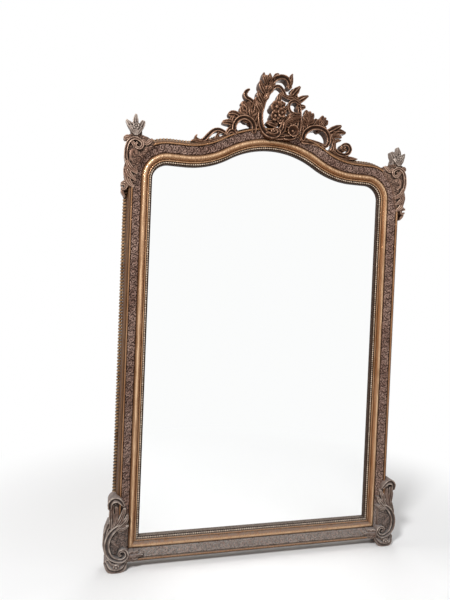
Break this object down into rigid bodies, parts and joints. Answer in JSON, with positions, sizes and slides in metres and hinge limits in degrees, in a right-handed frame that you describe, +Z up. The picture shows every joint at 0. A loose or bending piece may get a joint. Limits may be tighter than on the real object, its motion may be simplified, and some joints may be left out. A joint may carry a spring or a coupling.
{
  "type": "trumeau mirror",
  "caption": "Tall gilded wall mirror with a serpentine top rail, pierced scroll crest, carved corners, short feet, boarded back and two hanging rings.",
  "frame": {"origin": "under the middle of the whole mirror, at the level of the undersides of its feet", "axes": "+X to the mirror's right as seen from the front, +Y to the back (towards the wall), +Z up"},
  "size_m": [1.1702, 0.093, 1.8549],
  "materials": {
    "moulding_gilding": "burnished gilding over gesso, worn and browned",
    "pearl_gilding": "dull gilding, dark between the pearls",
    "strip_gilding": "aged gilding, greyed by dust",
    "crest_gilding": "aged gilding, worn bright on the high points",
    "upper_corner_gilding": "aged gilding, worn and dusty",
    "lower_corner_gilding": "aged gilding, grey with dust",
    "silvered_glass": "silvered plate",
    "pine": "unpainted aged pine",
    "iron": "dark forged iron"
  },
  "bodies": {
    "root": {"left_pearls": "pearl_gilding", "left_foliage": "strip_gilding", "right_pearls": "pearl_gilding", "right_foliage": "strip_gilding", "bottom_pearls": "pearl_gilding", "bottom_foliage": "strip_gilding", "top_pearls": "pearl_gilding", "top_foliage": "strip_gilding", "left_leaf_edge": "strip_gilding", "right_leaf_edge": "strip_gilding", "bottom_leaf_edge": "strip_gilding", "top_left_leaf_edge": "strip_gilding", "top_right_leaf_edge": "strip_gilding", "mirror_plate": "silvered_glass", "left_setting_block": "pine", "right_setting_block": "pine", "back_board_1": "pine", "back_board_2": "pine", "back_board_3": "pine", "lower_batten": "pine", "lower_batten_screw_left": "iron", "lower_batten_screw_right": "iron", "upper_batten": "pine", "upper_batten_screw_left": "iron", "upper_batten_screw_right": "iron", "left_ring_strap": "iron", "left_strap_screw_1": "iron", "left_strap_screw_2": "iron", "right_ring_strap": "iron", "right_strap_screw_1": "iron", "right_strap_screw_2": "iron", "crest_splint": "pine", "crest_splint_screw": "iron", "crest_rib": "pine", "crest_cartouche": "crest_gilding", "crest_flowers": "crest_gilding", "crest_crown": "crest_gilding", "crest_left_wing": "crest_gilding", "crest_left_tail": "crest_gilding", "crest_right_wing": "crest_gilding", "crest_right_tail": "crest_gilding", "left_corner_scroll": "upper_corner_gilding", "right_corner_scroll": "upper_corner_gilding", "left_finial": "upper_corner_gilding", "right_finial": "upper_corner_gilding", "left_side_curl": "upper_corner_gilding", "right_side_curl": "upper_corner_gilding", "left_lower_scroll": "lower_corner_gilding", "right_lower_scroll": "lower_corner_gilding", "left_acanthus": "lower_corner_gilding", "right_acanthus": "lower_corner_gilding", "left_foot": "lower_corner_gilding", "right_foot": "lower_corner_gilding", "left_stile": "moulding_gilding", "right_stile": "moulding_gilding", "bottom_rail": "moulding_gilding", "top_rail": "moulding_gilding"},
    "ring_left": {"left_ring": "iron"},
    "ring_right": {"right_ring": "iron"}
  },
  "joints": [
    {"name": "left_ring_hinge", "type": "hinge", "parent": "root", "child": "ring_left", "pos_m": [-0.5155, 0.04233, 1.14], "axis": [1, 0, 0], "range_deg": [0, 175]},
    {"name": "right_ring_hinge", "type": "hinge", "parent": "root", "child": "ring_right", "pos_m": [0.5155, 0.04233, 1.14], "axis": [1, 0, 0], "range_deg": [0, 175]}
  ]
}
